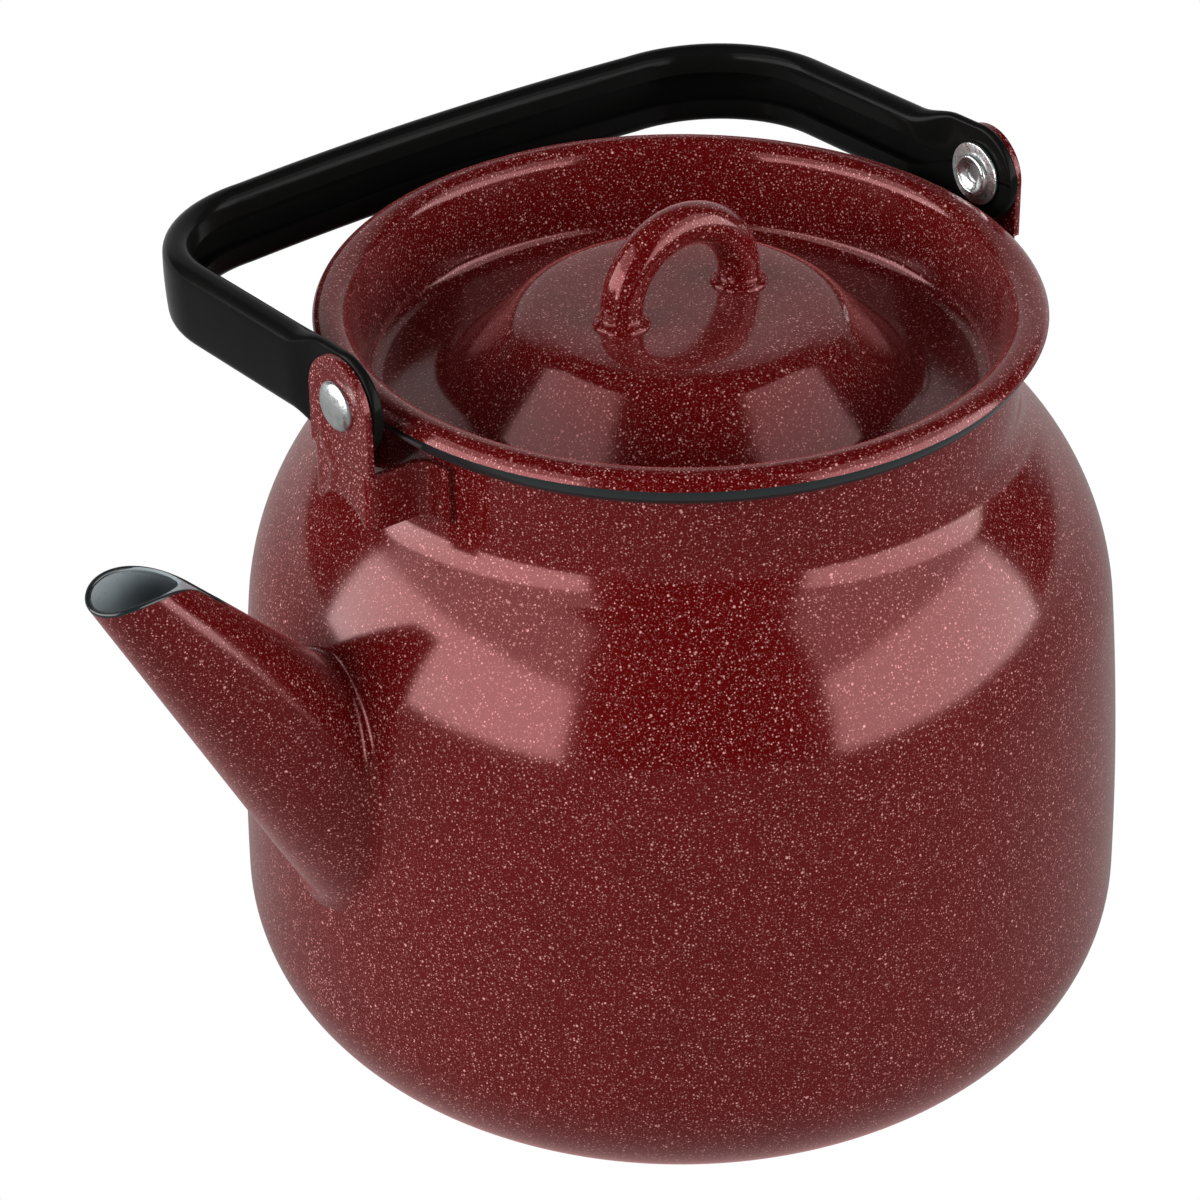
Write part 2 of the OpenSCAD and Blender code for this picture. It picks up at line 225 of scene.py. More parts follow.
class Shader:
    """A node tree with one way to add a node."""

    def __init__(self, tree: bpy.types.NodeTree) -> None:
        """Empties the tree and keeps it."""
        self.tree = tree
        tree.nodes.clear()

    def node(
        self,
        kind: str,
        settings: dict[str, object] | None = None,
        inputs: dict[object, object] | None = None,
        output: int | str = 0,
    ) -> Wire:
        """Adds a node.

        Args:
            kind: Blender's name for the node type.
            settings: Its options, set before its sockets.
            inputs: Values or wires, by socket name or number.
            output: Name or number of the output that is wanted.

        Returns:
            The chosen output.
        """
        made = self.tree.nodes.new(kind)
        for name, value in (settings or {}).items():
            setattr(made, name, value)
        for key, value in (inputs or {}).items():
            socket = made.inputs[key]
            if isinstance(value, Wire):
                self.tree.links.new(value.socket, socket)
            elif isinstance(value, tuple) and socket.type == "RGBA":
                socket.default_value = (*value, 1.0)
            else:
                socket.default_value = value
        if not made.outputs:
            return Wire(self, made.inputs[0])
        return Wire(self, made.outputs[output])

    def place(self) -> Wire:
        """The point on the object, in metres."""
        return self.node("ShaderNodeTexCoord", output="Object")

    def noise(self, scale: float, detail: float = 2.0, rough: float = 0.5) -> Wire:
        """Noise with a number of waves per metre."""
        sockets = {"Vector": self.place(), "Scale": scale, "Detail": detail, "Roughness": rough}
        return self.node("ShaderNodeTexNoise", None, sockets)

    def blend(self, factor: Wire, low: "Wire | Colour", high: "Wire | Colour") -> Wire:
        """A colour between two, by a factor from 0 to 1."""
        sockets = {0: factor, 6: low, 7: high}
        return self.node("ShaderNodeMix", {"data_type": "RGBA"}, sockets, 2)

    def split(self, colour: Wire) -> list[Wire]:
        """The three channels of a colour or vector."""
        first = self.node("ShaderNodeSeparateXYZ", None, {0: colour})
        return [Wire(self, s) for s in first.socket.node.outputs]

    def dots(self, per_metre: float, least: float, most: float, bias: float) -> Wire:
        """Round dots of mixed size and strength.

        Args:
            per_metre: Number of cells per metre, with one dot in each.
            least: Smallest radius, in cells.
            most: Largest radius, in cells.
            bias: Power that makes small dots more common than large ones.

        Returns:
            1 in the middle of a strong dot and 0 between the dots.
        """
        sockets = {"Vector": self.place(), "Scale": per_metre}
        cells = self.node("ShaderNodeTexVoronoi", None, sockets, "Distance")
        chance = self.split(Wire(self, cells.socket.node.outputs["Color"]))
        radius = chance[0].power(bias) * (most - least) + least
        faintest, core = 0.25, 0.45
        strength = chance[1] * (1 - faintest) + faintest
        return (1 - cells.step(radius * core, radius)) * strength

    def principled(self, sockets: dict[object, object]) -> Wire:
        """The surface shader with these values or wires."""
        return self.node("ShaderNodeBsdfPrincipled", None, sockets)


@dataclass(frozen=True)
class Finish:
    """A surface finish that can be made into a material."""

    name: str
    slot: Slot

    def material(self) -> bpy.types.Material:
        """Makes the material on first use.

        Returns:
            The material.
        """
        ready = bpy.data.materials.get(self.name)
        if ready is not None:
            return ready
        made = bpy.data.materials.new(self.name)
        made.use_nodes = True
        shader = Shader(made.node_tree)
        surface = self.surface(shader)
        shader.node("ShaderNodeOutputMaterial", None, {"Surface": surface})
        return made

    def surface(self, shader: Shader) -> Wire:
        """The finish's nodes."""
        raise NotImplementedError

    @staticmethod
    def orange_peel(shader: Shader, waves: float, height: float) -> Wire:
        """A normal with the soft waves of fired enamel.

        Args:
            shader: Tree to add the nodes to.
            waves: Waves per metre.
            height: Height of the waves, in metres.

        Returns:
            The normal.
        """
        sockets = {"Strength": 1.0, "Distance": height, "Height": shader.noise(waves, 1.5, 0.4)}
        return shader.node("ShaderNodeBump", None, sockets)


@dataclass(frozen=True)
class SpeckledEnamel(Finish):
    """Glossy enamel with fine pale specks fired into it."""

    deep: Colour = (0.068, 0.0008, 0.0010)
    bright: Colour = (0.098, 0.0014, 0.0018)
    speck: Colour = (0.72, 0.33, 0.32)
    fine: float = 1600.0
    coarse: float = 700.0
    gloss: float = 0.11
    shine: float = 0.62
    tint: Colour = (1.0, 0.44, 0.44)
    rim_glow: float = 0.30
    rim_tint: Colour = (1.0, 0.22, 0.22)
    rim_spread: float = 0.35
    waves: float = 85.0
    wave_height: float = 0.00006

    def surface(self, shader: Shader) -> Wire:
        """Dark ground, fine and coarse specks, soft waves.

        Args:
            shader: Tree to add the nodes to.

        Returns:
            The surface.
        """
        ground = shader.blend(shader.noise(70.0, 3.0, 0.6), self.deep, self.bright)
        dust = shader.noise(2600.0, 1.0, 0.5).step(0.56, 0.80) * 0.30
        fine = shader.dots(self.fine, 0.12, 0.44, 1.3)
        coarse = shader.dots(self.coarse, 0.08, 0.30, 3.0)
        speckles = fine.larger(coarse).larger(dust)
        colour = shader.blend(speckles, ground, self.speck)
        rough = shader.noise(260.0) * 0.05 + self.gloss
        return shader.principled({
            "Base Color": colour,
            "Roughness": rough,
            "IOR": ENAMEL_IOR,
            "Specular IOR Level": self.shine,
            "Specular Tint": self.tint,
            "Sheen Weight": self.rim_glow,
            "Sheen Roughness": self.rim_spread,
            "Sheen Tint": self.rim_tint,
            "Normal": self.orange_peel(shader, self.waves, self.wave_height),
        })


@dataclass(frozen=True)
class PlainEnamel(Finish):
    """Glossy enamel or lacquer with a few faint specks."""

    ground: Colour = (0.0035, 0.0037, 0.0036)
    tint: Colour = (0.0065, 0.0066, 0.0062)
    speck: Colour = (0.03, 0.03, 0.03)
    speck_share: float = 0.15
    gloss: float = 0.13
    waves: float = 60.0
    wave_height: float = 0.00008
    shine: float = 0.5

    def surface(self, shader: Shader) -> Wire:
        """Ground colour, faint specks, soft waves.

        Args:
            shader: Tree to add the nodes to.

        Returns:
            The surface.
        """
        ground = shader.blend(shader.noise(45.0, 3.0, 0.6), self.ground, self.tint)
        specks = shader.dots(900.0, 0.04, 0.36, 1.5) * self.speck_share
        rough = shader.noise(160.0, 3.0, 0.6) * 0.07 + self.gloss
        return shader.principled({
            "Base Color": shader.blend(specks, ground, self.speck),
            "Roughness": rough,
            "IOR": ENAMEL_IOR,
            "Specular IOR Level": self.shine,
            "Normal": self.orange_peel(shader, self.waves, self.wave_height),
        })


@dataclass(frozen=True)
class ZincPlate(Finish):
    """Bright zinc plating with faint hammer and tool marks."""

    pale: Colour = (0.78, 0.79, 0.78)
    dull: Colour = (0.42, 0.45, 0.46)

    def surface(self, shader: Shader) -> Wire:
        """Patchy metal with varied roughness.

        Args:
            shader: Tree to add the nodes to.

        Returns:
            The surface.
        """
        patches = shader.noise(420.0, 4.0, 0.65).step(0.35, 0.7)
        marks = {"Strength": 0.35, "Distance": 0.0003, "Height": shader.noise(900.0, 3.0)}
        return shader.principled({
            "Base Color": shader.blend(patches, self.pale, self.dull),
            "Metallic": 1.0,
            "Roughness": patches * 0.16 + 0.24,
            "Normal": shader.node("ShaderNodeBump", None, marks),
        })


RED = SpeckledEnamel("speckled_red_enamel", Slot.ENAMEL)
BLACK = PlainEnamel("black_gloss_enamel", Slot.BLACK, shine=0.05)
EDGE = PlainEnamel(
    "blue_black_edge_enamel",
    Slot.BLACK,
    ground=(0.010, 0.013, 0.014),
    tint=(0.016, 0.021, 0.022),
)
LINING = PlainEnamel(
    "grey_lining_enamel",
    Slot.ENAMEL,
    ground=(0.30, 0.345, 0.365),
    tint=(0.38, 0.43, 0.45),
    speck=(0.05, 0.06, 0.07),
    speck_share=0.55,
    gloss=0.16,
)
ZINC = ZincPlate("bright_zinc_plate", Slot.ZINC)


# --- mesh tools


def added(name: str, data: bpy.types.ID) -> bpy.types.Object:
    """Puts a new object in the scene.

    Args:
        name: Name of the object.
        data: Its mesh, light or camera.

    Returns:
        The object.
    """
    made = bpy.data.objects.new(name, data)
    bpy.context.collection.objects.link(made)
    return made


@dataclass
class Sheet:
    """Vertices and faces of one mesh, in millimetres."""

    points: list[Vector] = field(default_factory=list)
    faces: list[tuple[int, ...]] = field(default_factory=list)

    def grid(self, rows: Sequence[Sequence[Vector]], wrap: bool, loop: bool = False) -> None:
        """Adds a net of quads.

        Args:
            rows: Rows of points, all of one length.
            wrap: Whether each row closes on itself.
            loop: Whether the last row joins the first.
        """
        start = len(self.points)
        width = len(rows[0])
        for row in rows:
            self.points.extend(row)
        for j in range(len(rows) if loop else len(rows) - 1):
            below, above = start + j * width, start + (j + 1) % len(rows) * width
            for i in range(width if wrap else width - 1):
                k = (i + 1) % width
                self.faces.append((below + i, below + k, above + k, above + i))

    def cap(self, ring: Sequence[Vector]) -> None:
        """Adds a fan of triangles that closes a ring.

        Args:
            ring: Its points in order.
        """
        start = len(self.points)
        centre = sum(ring, Vector()) / len(ring)
        self.points.extend([*ring, centre])
        last = start + len(ring)
        for i in range(len(ring)):
            self.faces.append((start + i, start + (i + 1) % len(ring), last))

    def bare(self, name: str, sharp: float = SHARP) -> bpy.types.Object:
        """Makes the object without a finish.

        Args:
            name: Name of the object.
            sharp: Bend of a sharp edge, in degrees.

        Returns:
            The object.
        """
        mesh = bpy.data.meshes.new(name)
        mesh.from_pydata([p * MM for p in self.points], [], self.faces)
        made = added(name, mesh)
        finish_mesh(made, sharp)
        return made

    def build(
        self, name: str, finish: Finish, body: Body, sharp: float = SHARP
    ) -> bpy.types.Object:
        """Makes the object, dresses it and puts it on its body.

        Args:
            name: Name of the piece.
            finish: Its finish.
            body: The body that it moves with.
            sharp: Bend of a sharp edge, in degrees.

        Returns:
            The object.
        """
        made = self.bare(name, sharp)
        made.data.materials.append(finish.material())
        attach(made, body.value)
        LOG.info("%s: %d faces", name, len(made.data.polygons))
        return made


def finish_mesh(made: bpy.types.Object, sharp: float) -> None:
    """Joins doubled points, turns the faces outwards and marks sharp edges.

    Args:
        made: The object.
        sharp: Bend of a sharp edge, in degrees.
    """
    work = bmesh.new()
    work.from_mesh(made.data)
    bmesh.ops.remove_doubles(work, verts=work.verts, dist=2e-6)
    bmesh.ops.dissolve_degenerate(work, edges=work.edges, dist=1e-6)
    bmesh.ops.recalc_face_normals(work, faces=work.faces)
    limit = math.radians(sharp)
    for edge in work.edges:
        edge.smooth = len(edge.link_faces) == 2 and edge.calc_face_angle(0.0) < limit
    for face in work.faces:
        face.smooth = True
    work.to_mesh(made.data)
    work.free()


def settle(made: bpy.types.Object, sharp: float = SHARP) -> None:
    """Applies the object's modifiers and shades it again.

    Args:
        made: The object.
        sharp: Bend of a sharp edge, in degrees.
    """
    graph = bpy.context.evaluated_depsgraph_get()
    shaped = bpy.data.meshes.new_from_object(made.evaluated_get(graph))
    made.modifiers.clear()
    made.data = shaped
    finish_mesh(made, sharp)


def cut_away(made: bpy.types.Object, tool: bpy.types.Object, sharp: float = SHARP) -> None:
    """Cuts a tool's shape out of an object.

    Args:
        made: The object.
        tool: The closed shape to take away.
        sharp: Bend of a sharp edge, in degrees.
    """
    cut = made.modifiers.new("cut", "BOOLEAN")
    cut.operation = "DIFFERENCE"
    cut.solver = "EXACT"
    cut.object = tool
    settle(made, sharp)


def turned(profile: Profile, segments: int = 192) -> list[list[Vector]]:
    """A profile of radius and height turned round the Z axis, as rows of points."""
    turns = full_turn(segments)
    return [[Vector((r * math.cos(a), r * math.sin(a), z)) for a in turns] for r, z in profile]


def turned_on_x(
    profile: Profile, origin: Vector, side: int, segments: int = 64
) -> list[list[Vector]]:
    """A profile of radius and distance turned round an axis along X.

    Args:
        profile: Radius, and distance outwards from the origin.
        origin: A point on the axis.
        side: 1 for +X and -1 for -X.
        segments: Points in each ring.

    Returns:
        Rows of points.
    """
    turns = full_turn(segments)
    return [
        [origin + Vector((side * d, r * math.cos(a), r * math.sin(a))) for a in turns]
        for r, d in profile
    ]


# --- the body


@dataclass
class KettleBody:
    """The pressed pan, wall, shoulder and neck."""

    largest_r: float = 99.0
    corner_r: float = 33.0
    foot_w: float = 7.0
    foot_recess: float = 1.5
    foot_lean: float = 0.5
    foot_step: float = 2.6
    foot_step_r: float = 1.2
    foot_toe: float = 0.6
    foot_toe_r: float = 0.7
    foot_flat: float = 0.8
    wall_top_z: float = 102.0
    wall_lean: float = 5.5
    shoulder_slope: float = 44.5
    collar_r: float = 14.0
    neck_r: float = 72.8
    neck_h: float = 18.8
    sheet: float = 1.2
    bead_r: float = 2.6
    bead_droop: float = 1.3
    hole_d: float = 6.0
    hole_pitch: float = 9.5
    hole_rows: int = 4
    hole_columns: int = 3
    hole_clear: float = 3.0

    def __post_init__(self) -> None:
        """Works out the joints of the outline."""
        angles = (self.foot_lean, self.wall_lean, self.shoulder_slope)
        lean, top, slope = (math.radians(a) for a in angles)
        self.foot_r = self.largest_r - self.corner_r
        low_r = self.foot_r + self.corner_r * math.cos(lean)
        low_z = self.corner_r * (1 + math.sin(lean))
        self.bow_r = (self.wall_top_z - low_z) / (math.sin(top) - math.sin(lean))
        self.bow_mid = (low_r - self.bow_r * math.cos(lean), low_z - self.bow_r * math.sin(lean))
        self.wall_top_r = self.bow_mid[0] + self.bow_r * math.cos(top)
        hollow = self.collar_r * (1 - math.cos(slope))
        rest = self.wall_top_r - self.neck_r - hollow
        self.shoulder_r = rest / (math.cos(top) - math.cos(slope))
        shoulder_top = self.wall_top_z + self.shoulder_r * (math.sin(slope) - math.sin(top))
        self.neck_foot_z = shoulder_top + self.collar_r * math.sin(slope)
        self.bead_z = self.neck_foot_z + self.neck_h

    def outline(self) -> Profile:
        """Outer outline of the body.

        Returns:
            Radius and height, from the middle of the base to the top of the neck.
        """
        foot_in = self.foot_r - self.foot_w
        step, recess = foot_in - self.foot_step, self.foot_recess
        top = math.radians(self.wall_lean)
        shoulder = (
            self.wall_top_r - self.shoulder_r * math.cos(top),
            self.wall_top_z - self.shoulder_r * math.sin(top),
        )
        collar = (self.neck_r + self.collar_r, self.neck_foot_z)
        return tidy(
            segment((0, recess), (step, recess), 12)
            + arc(step, recess - self.foot_step_r, self.foot_step_r, 90, 40, 4)
            + arc(foot_in + self.foot_toe, self.foot_toe_r, self.foot_toe_r, 220, 270, 4)
            + segment((foot_in + self.foot_flat, 0), (self.foot_r, 0), 3)
            + arc(self.foot_r, self.corner_r, self.corner_r, -90, self.foot_lean, 40)
            + arc(*self.bow_mid, self.bow_r, self.foot_lean, self.wall_lean, 14)
            + arc(*shoulder, self.shoulder_r, self.wall_lean, self.shoulder_slope, 36)
            + arc(*collar, self.collar_r, 180 + self.shoulder_slope, 180, 22)
            + segment((self.neck_r, self.neck_foot_z), (self.neck_r, self.bead_z), 6)
        )

    def radius_at(self, z: float) -> float:
        """Outer radius of the wall.

        Args:
            z: A height above the rounded edge of the base.

        Returns:
            The radius there.
        """
        points = [p for p in self.outline() if p[0] > self.foot_r]
        for (r0, z0), (r1, z1) in zip(points, points[1:]):
            if z0 <= z <= z1 and z1 > z0:
                return r0 + (r1 - r0) * (z - z0) / (z1 - z0)
        return self.largest_r

    def strainer(self, middle_z: float) -> bpy.types.Object:
        """Rods that cut the strainer holes.

        Args:
            middle_z: Height of the middle of the strainer.

        Returns:
            The rods as one hidden object.
        """
        rods = Sheet()
        turns = full_turn(32)
        radius = self.hole_d / 2
        for row in range(self.hole_rows):
            for column in range(self.hole_columns):
                y = (column - (self.hole_columns - 1) / 2) * self.hole_pitch
                z = middle_z + (row - (self.hole_rows - 1) / 2) * self.hole_pitch
                ends = [
                    [Vector((x, y + radius * math.cos(a), z + radius * math.sin(a))) for a in turns]
                    for x in (-self.largest_r - self.hole_clear, -self.largest_r / 2)
                ]
                rods.grid(ends, wrap=True)
                rods.cap(ends[0])
                rods.cap(ends[1])
        return rods.bare("strainer_rods")

    def build(self, strainer_z: float) -> None:
        """Makes the outer skin, the lining and the black edge of the mouth.

        Args:
            strainer_z: Height of the middle of the strainer.
        """
        outline = self.outline()
        cutter = self.strainer(strainer_z)
        half = self.sheet / 2
        layers = (("kettle_skin", 0.0, RED), ("kettle_lining", half, LINING))
        for name, start, finish in layers:
            shell = Sheet()
            outer = offset(outline, start) if start else outline
            strip = outer + offset(outline, start + half)[::-1]
            shell.grid(turned(strip, 224), wrap=True)
            made = shell.build(name, finish, Body.KETTLE)
            cut_away(made, cutter)
            if finish is RED:
                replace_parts(made, "base_pan", "body_shell")
        bpy.data.objects.remove(cutter)
        bead = Sheet()
        middle = self.neck_r - self.sheet + self.bead_r
        low = -math.degrees(math.acos((self.neck_r - middle) / self.bead_r))
        ring = arc(middle, self.bead_z, self.bead_r, low, 180, 30) + [(self.neck_r, self.bead_z)]
        drops = [(z - self.bead_z) * (self.bead_droop if z < self.bead_z else 1) for _, z in ring]
        ring = [(r, self.bead_z + drop) for (r, _), drop in zip(ring, drops)]
        bead.grid(turned(ring), wrap=True, loop=True)
        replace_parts(bead.build("mouth_bead_edge", EDGE, Body.KETTLE), "mouth_bead")


# --- the spout


@dataclass
class Spout:
    """The tapered spout, its lining and its black lip."""

    body: KettleBody
    overhang: float = 38.6
    mouth_drop: float = 17.2
    tilt: float = 53.8
    taper: float = 8.6
    mouth_d: float = 16.4
    dip: float = 2.8
    sheet: float = 1.2
    fillet: float = 3.6
    lip_r: float = 0.62
    mouth_search: Point = (-14.0, 20.0)
    root_search: float = 25.0
    weld_run: float = 0.8
    weld_sink: float = 0.25
    tuck: float = 0.6
    strainer_drop: float = 5.4
    columns: int = 112
    rows: int = 30
    fillet_rows: int = 8

    def __post_init__(self) -> None:
        """Works out the axis and the arch of the mouth."""
        tilt, taper = math.radians(self.tilt), math.radians(self.taper)
        self.mouth_z = self.body.bead_z - self.mouth_drop
        self.reach = self.body.largest_r + self.overhang
        self.start = Vector((-self.reach, 0, self.mouth_z - self.dip / 2))
        self.down = Vector((math.cos(tilt), 0, -math.sin(tilt)))
        self.up = Vector((math.sin(tilt), 0, math.cos(tilt)))
        self.spread = math.tan(taper)
        lip = self.mouth_d / 2 * math.cos(taper) / math.sin(tilt + taper)
        top = self.mouth_d / 2 * math.cos(taper) / math.sin(tilt - taper)
        half = (lip + top) / 2
        self.arch_x = -self.reach + (top - lip) / 2
        self.arch_r = (half * half + self.dip * self.dip) / (2 * self.dip)
        self.length = (self.reach - self.body.neck_r) / math.cos(tilt)

    @property
    def strainer_z(self) -> float:
        """Height of the middle of the strainer."""
        run = self.reach - self.body.wall_top_r
        return self.start.z - run * math.tan(math.radians(self.tilt)) - self.strainer_drop

    def point(self, turn: float, along: float, inset: float) -> Vector:
        """A point on the cone.

        Args:
            turn: Angle round the axis, 0 on the upper side.
            along: Distance down the axis from the mouth.
            inset: How far inside the outer surface.

        Returns:
            The point.
        """
        radius = self.mouth_d / 2 - inset / math.cos(math.radians(self.taper)) + along * self.spread
        out = self.up * math.cos(turn) + Vector((0, math.sin(turn), 0))
        return self.start + self.down * along + out * radius

    def over_arch(self, p: Vector) -> float:
        """Height of a point above the arch of the mouth."""
        run = min(abs(p.x - self.arch_x), self.arch_r * 0.98)
        return p.z - (self.mouth_z - self.arch_r + math.sqrt(self.arch_r**2 - run**2))

    def find(
        self, turn: float, inset: float, test: Callable[[Vector], float], low: float, high: float
    ) -> float:
        """Distance down the axis where a test changes sign.

        Args:
            turn: Angle round the axis.
            inset: How far inside the outer surface.
            test: Positive near the mouth and negative near the root.
            low: First distance of the search.
            high: Last distance of the search.

        Returns:
            The distance.
        """
        halvings = 40
        for _ in range(halvings):
            middle = (low + high) / 2
            if test(self.point(turn, middle, inset)) > 0:
                low = middle
            else:
                high = middle
        return (low + high) / 2

    def outside_body(self, p: Vector) -> float:
        """How far a point is outside the body's wall."""
        return math.hypot(p.x, p.y) - self.body.radius_at(p.z)

    def on_body(self, p: Vector, sink: float) -> Vector:
        """The point moved to the body's surface and a little into it."""
        scale = (self.body.radius_at(p.z) - sink) / math.hypot(p.x, p.y)
        return Vector((p.x * scale, p.y * scale, p.z))

    def root_fillet(self, turn: float, end: float) -> list[Vector]:
        """The weld's hollow curve from the cone on to the body.

        Args:
            turn: Angle round the axis.
            end: Distance down the axis where the cone meets the body.

        Returns:
            Points from the cone to the body.
        """
        before = self.point(turn, end - self.fillet, 0.0)
        corner = self.point(turn, end, 0.0)
        out = corner - self.point(turn, end, self.mouth_d / 2)
        wall = Vector((corner.x, corner.y, 0)).normalized()
        away = (out - wall * out.dot(wall)).normalized()
        after = self.on_body(corner + away * self.fillet * self.weld_run, self.weld_sink)
        curve = []
        for i in range(1, self.fillet_rows + 1):
            t = i / self.fillet_rows
            curve.append(before * (1 - t) ** 2 + corner * (2 * t * (1 - t)) + after * t * t)
        return curve

    def build(self) -> None:
        """Makes the skin, the lining and the lip."""
        turns = full_turn(self.columns)
        root_ends = (self.root_search, self.length)
        mouth = [self.find(t, 0.0, self.over_arch, *self.mouth_search) for t in turns]
        mouth_in = [self.find(t, self.sheet, self.over_arch, *self.mouth_search) for t in turns]
        root = [self.find(t, 0.0, self.outside_body, *root_ends) for t in turns]
        half = self.sheet / 2
        skin_rows = []
        for j in range(self.rows + 1):
            k = j / self.rows
            depths = [a + (b - self.fillet - a) * k for a, b in zip(mouth, root)]
            skin_rows.append([self.point(t, depth, 0.0) for t, depth in zip(turns, depths)])
        curves = [self.root_fillet(t, b) for t, b in zip(turns, root)]
        for j in range(self.fillet_rows):
            skin_rows.append([c[j] for c in curves])
        back = [[self.point(t, b + self.tuck, half) for t, b in zip(turns, root)]]
        back.append([self.point(t, a, half) for t, a in zip(turns, mouth)])
        skin = Sheet()
        skin.grid(skin_rows + back, wrap=True, loop=True)
        made = skin.build("spout_skin", RED, Body.KETTLE, 60.0)
        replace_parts(made, "spout_half_left", "spout_half_right")
        lining = Sheet()
        rows = []
        for inset, order in ((half, (0, 1)), (self.sheet, (1, 0))):
            for k in order:
                depths = [a + (b - a) * k for a, b in zip(mouth_in, root)]
                rows.append([self.point(t, depth, inset) for t, depth in zip(turns, depths)])
        lining.grid(rows, wrap=True, loop=True)
        lining.build("spout_lining", LINING, Body.KETTLE)
        self.build_lip(turns, mouth)

    def build_lip(self, turns: list[float], mouth: list[float]) -> None:
        """Makes the rounded black edge of the mouth.

        Args:
            turns: Angles round the axis.
            mouth: Distance down the axis of the mouth's edge at each angle.
        """
        path = [self.point(t, a, self.sheet / 2) for t, a in zip(turns, mouth)]
        rings = []
        for i, p in enumerate(path):
            ahead = (path[(i + 1) % len(path)] - path[i - 1]).normalized()
            out = (p - self.start).cross(ahead).cross(ahead).normalized()
            rings.append(hoop(p, out, ahead.cross(out), self.lip_r, 12))
        lip = Sheet()
        lip.grid(rings, wrap=True, loop=True)
        lip.build("spout_lip", EDGE, Body.KETTLE)


# --- the lid


